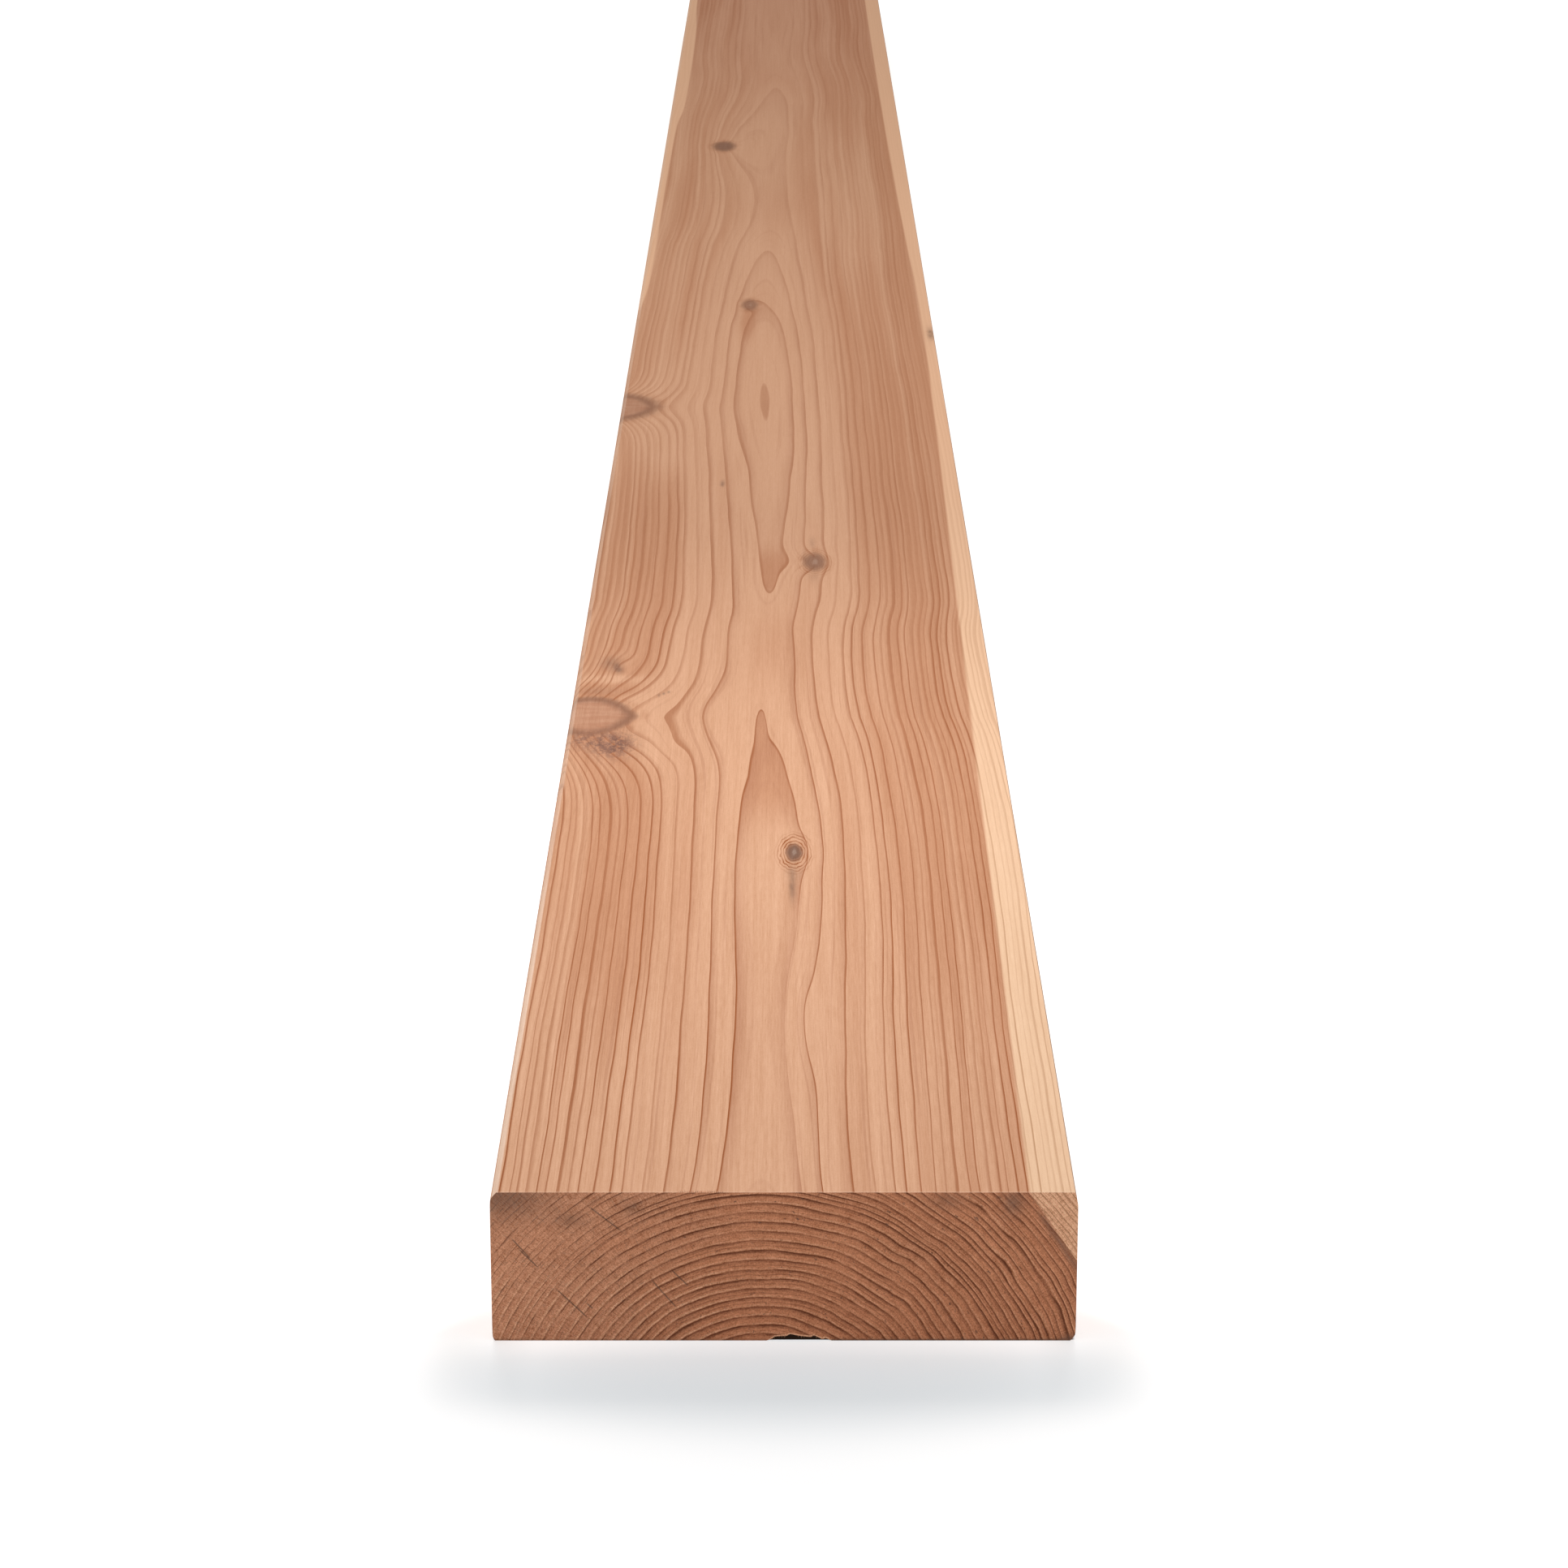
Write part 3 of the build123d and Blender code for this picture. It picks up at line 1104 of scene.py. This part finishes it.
def fuzz_tree(material):
    """Geometry nodes that grow a thin pointed fibre at even steps along each line of a mesh."""
    group = bpy.data.node_groups.new("saw_fuzz", "GeometryNodeTree")
    group.interface.new_socket("Geometry", in_out="INPUT", socket_type="NodeSocketGeometry")
    for name, kind in (("Spacing", "Float"), ("Thickness", "Float"), ("Spread", "Float"), ("Seed", "Int")):
        group.interface.new_socket(name, in_out="INPUT", socket_type="NodeSocket" + kind)
    group.interface.new_socket("Geometry", in_out="OUTPUT", socket_type="NodeSocketGeometry")
    tree = Tree(group)
    given = tree.node("NodeGroupInput").outputs
    curve = tree.output("GeometryNodeMeshToCurve", None, {"Mesh": given["Geometry"]})
    sockets = {"Curve": curve, "Length": given["Spacing"]}
    points = tree.output("GeometryNodeCurveToPoints", {"mode": "LENGTH"}, sockets)
    lean = tree.output("GeometryNodeInputNamedAttribute", {"data_type": "FLOAT_VECTOR"}, {"Name": "lean"})
    sideways = {0: (-1.0, -0.6, -0.3), 1: (1.0, 0.6, 0.3), 8: given["Seed"]}
    turn = tree.output("FunctionNodeRandomValue", {"data_type": "FLOAT_VECTOR"}, sideways)
    straight = tree.output("ShaderNodeVectorMath", {"operation": "NORMALIZE"}, {0: lean})
    turned = tree.output("ShaderNodeVectorMath", {"operation": "SCALE"}, {0: turn, "Scale": given["Spread"]})
    way = tree.output("ShaderNodeVectorMath", {"operation": "ADD"}, {0: straight, 1: turned})
    facing = tree.output("FunctionNodeAlignRotationToVector", {"axis": "Z"}, {"Vector": way})
    size = tree.output("ShaderNodeVectorMath", {"operation": "LENGTH"}, {0: lean}, "Value")
    uneven = {2: 0.25, 3: 1.0, 8: given["Seed"]}
    share = tree.output("FunctionNodeRandomValue", {"data_type": "FLOAT"}, uneven, 1)
    length = tree.output("ShaderNodeMath", {"operation": "MULTIPLY"}, {0: size, 1: share})
    sizes = {"X": given["Thickness"], "Y": given["Thickness"], "Z": length}
    scale = tree.output("ShaderNodeCombineXYZ", None, sizes)
    cone = {"Vertices": 5, "Radius Top": 0.08, "Radius Bottom": 0.5, "Depth": 1.0}
    fibre = tree.output("GeometryNodeMeshCone", None, cone)
    sockets = {"Points": points, "Instance": fibre, "Rotation": facing, "Scale": scale}
    grown = tree.output("GeometryNodeInstanceOnPoints", None, sockets)
    real = tree.output("GeometryNodeRealizeInstances", None, {"Geometry": grown})
    dressed = tree.output("GeometryNodeSetMaterial", None, {"Geometry": real, "Material": material})
    tree.node("NodeGroupOutput", None, {"Geometry": dressed})
    return group


def fuzz_finish(look):
    """Pale and brown torn fibres."""
    finish = Finish("redwood_fuzz")
    place = finish.scale(finish.output("ShaderNodeTexCoord", which="Object"), 1 / METRES)
    share = finish.noise(place, (0.5, 0.5, 0.5)).step(0.0, 0.6)
    colour = finish.mix(share, look.earlywood, look.end_line)
    return finish.surface(colour, share * 0.1 + 0.7, share, 0.00001, 0.1)


class REDWOOD_OT_fuzz(bpy.types.Operator):
    """Grow torn fibres along the near end's upper edge and its tear-out"""

    bl_idname = "redwood.fuzz"
    bl_label = "Grow Fuzz"

    def execute(self, context):
        scene = context.scene
        settings = scene.redwood_fuzz
        lines = new_object("fuzz_lines", fuzz_lines(scene.redwood_board, settings.splinter))
        material = fuzz_finish(scene.redwood_finish)
        grow = lines.modifiers.new("saw_fuzz", "NODES")
        grow.node_group = fuzz_tree(material)
        chosen = {name: getattr(settings, name.lower()) for name in ("Spacing", "Thickness", "Spread", "Seed")}
        for item in grow.node_group.interface.items_tree:
            if item.in_out == "INPUT" and item.name in chosen:
                grow[item.identifier] = chosen[item.name]
        evaluated = lines.evaluated_get(context.evaluated_depsgraph_get())
        mesh = bpy.data.meshes.new_from_object(evaluated)
        if not mesh.polygons:
            raise RuntimeError("no fibres grew")
        lines.modifiers.remove(grow)
        bpy.data.objects.remove(lines)
        mesh.name = "saw_fuzz"
        fuzz = new_object("saw_fuzz", mesh)
        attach(fuzz, "root")
        return {"FINISHED"}


class REDWOOD_OT_stage(bpy.types.Operator):
    """Set up the floor, the light and the camera"""

    bl_idname = "redwood.stage"
    bl_label = "Set Stage"

    def execute(self, context):
        stage = context.scene.redwood_stage
        context.scene.view_settings.view_transform = "Standard"
        self.floor(stage)
        self.light(context.scene, stage)
        self.camera(context.scene, stage)
        return {"FINISHED"}

    def floor(self, stage):
        """A white floor with painted shadow in front of the near end and painted shade under the board."""
        finish = Finish("floor_white")
        path = finish.node("ShaderNodeLightPath").outputs
        seen = [Value(finish, path[ray]) for ray in ("Is Camera Ray", "Is Glossy Ray", "Is Transmission Ray")]
        place = finish.node("ShaderNodeTexCoord").outputs["Object"]
        across, along, _ = finish.parts(place)
        in_front = LOW[1] - along / METRES
        aside = across.size() / METRES
        # Painted shadow: a soft dark patch in front of the near end, in the colour that the camera sees
        fall = (aside / PAINTED_SHADOW_SIDE) ** 8.0 + (aside / 50.0) ** 2.0 * 0.06
        reach = (in_front - PAINTED_SHADOW_MIDDLE).size() / PAINTED_SHADOW_REACH
        fall = (reach * ((aside / PAINTED_SHADOW_NARROW) ** 2.0 + 1.0)) ** 2.4 + fall
        # The lamps' own light there, as estimated, is taken off that colour, so that the two add up to it
        dim = (-((in_front.most(0.0) / LIT_FADE) ** 1.4)).exp() * aside.step(82.0, 57.0)
        lit = LIT_LEVEL - dim * LIT_LOSS - aside.step(60.0, 84.0) * 0.06
        painted_shadow = finish.mix((-fall).exp(), (1.0, 1.0, 1.0), stage.shadow)
        painted_shadow = finish.vector("SUBTRACT", painted_shadow, finish.join(lit, lit, lit))
        colour = finish.mix(fall.step(10.0, 4.0), stage.floor_white, painted_shadow)
        # Painted shade: the floor under the board is dark, both as seen and in the light it throws back
        under = in_front.step(-0.3, -0.8) * in_front.step(-LENGTH, 1.0 - LENGTH)
        painted_under_shade_mask = aside.step(WIDTH / 2, WIDTH / 2 - 1.0) * under
        colour = finish.mix(painted_under_shade_mask, colour, PAINTED_UNDER_SHADE)
        pale = finish.mix(painted_under_shade_mask, stage.floor_colour, (0.0, 0.0, 0.0))
        strength = (seen[0] + seen[1] + seen[2]).least(1.0)
        glow = finish.node("ShaderNodeEmission", None, {"Color": colour, "Strength": strength})
        matt = finish.node("ShaderNodeBsdfDiffuse", None, {"Color": pale})
        both = finish.node("ShaderNodeAddShader", None, {0: matt.outputs["BSDF"], 1: glow.outputs["Emission"]})
        finish.node("ShaderNodeOutputMaterial", None, {"Surface": both.outputs["Shader"]})
        mesh = bpy.data.meshes.new("floor")
        signs = ((-1, -1), (1, -1), (1, 1), (-1, 1))
        corners = [(x * FLOOR_HALF, y * FLOOR_HALF, 0.0) for x, y in signs]
        mesh.from_pydata(corners, [], [(0, 1, 2, 3)])
        mesh.materials.append(finish.material)
        new_object("floor", mesh)

    def light(self, scene, stage):
        """A sky that the camera sees as white, and the lamps."""
        world = bpy.data.worlds.new("studio")
        world.use_nodes = True
        world.node_tree.nodes.clear()
        tree = Tree(world.node_tree)
        white = (1.0, 1.0, 1.0, 1.0)
        seen = tree.output("ShaderNodeLightPath", which="Is Camera Ray")
        sky = tree.output("ShaderNodeBackground", None, {"Color": white, "Strength": stage.sky})
        backdrop = tree.output("ShaderNodeBackground", None, {"Color": white, "Strength": 1.0})
        both = tree.output("ShaderNodeMixShader", None, {0: seen, 1: sky, 2: backdrop})
        tree.node("ShaderNodeOutputWorld", None, {"Surface": both})
        scene.world = world
        for lamp in LAMPS:
            self.lamp(lamp, getattr(stage, f"{lamp.name}_power"))

    def lamp(self, lamp, power):
        """Adds a rectangular lamp that looks straight down or towards -Y."""
        light = bpy.data.lights.new(lamp.name, "AREA")
        light.shape = "RECTANGLE"
        light.size = lamp.width
        light.size_y = lamp.depth
        light.energy = power
        light.spread = math.radians(lamp.spread)
        made = new_object(lamp.name, light)
        made.location = (0.0, LOW[1] * METRES + lamp.behind, lamp.height)
        made.rotation_euler = (math.atan2(lamp.aim - lamp.behind, lamp.height), 0.0, 0.0)

    def camera(self, scene, stage):
        lens = bpy.data.cameras.new("camera")
        lens.sensor_width = 36.0
        lens.lens = stage.lens
        camera = bpy.data.objects.new("camera", lens)
        height = THICKNESS * METRES + stage.camera_height
        camera.location = (0.0, LOW[1] * METRES - stage.camera_stand_off, height)
        camera.rotation_euler = (math.pi / 2 - stage.camera_pitch, 0.0, 0.0)
        scene.collection.objects.link(camera)
        scene.camera = camera


class REDWOOD_PT_board(bpy.types.Panel):
    """Settings of the board and its stage, with the buttons that build them"""

    bl_idname = "REDWOOD_PT_board"
    bl_label = "Redwood Board"
    bl_space_type = "VIEW_3D"
    bl_region_type = "UI"
    bl_category = "Redwood"

    def draw(self, context):
        scene = context.scene
        for group in (getattr(scene, name) for name in SETTINGS):
            box = self.layout.box()
            for name in group.bl_rna.properties.keys():
                if name not in ("name", "rna_type"):
                    box.prop(group, name)
        for operator in OPERATORS:
            self.layout.operator(operator.bl_idname)


OPERATORS = (REDWOOD_OT_board, REDWOOD_OT_fuzz, REDWOOD_OT_stage)
SETTINGS = {
    "redwood_board": BoardSettings,
    "redwood_fuzz": FuzzSettings,
    "redwood_finish": FinishSettings,
    "redwood_stage": StageSettings,
}


def register():
    for name, group in SETTINGS.items():
        bpy.utils.register_class(group)
        setattr(bpy.types.Scene, name, bpy.props.PointerProperty(type=group))
    for panel in (*OPERATORS, REDWOOD_PT_board):
        bpy.utils.register_class(panel)


def unregister():
    for panel in (REDWOOD_PT_board, *OPERATORS):
        bpy.utils.unregister_class(panel)
    for name, group in SETTINGS.items():
        delattr(bpy.types.Scene, name)
        bpy.utils.unregister_class(group)


def main():
    register()
    bpy.ops.redwood.board()
    bpy.ops.redwood.fuzz()
    bpy.ops.redwood.stage()


if __name__ == "__main__":
    main()
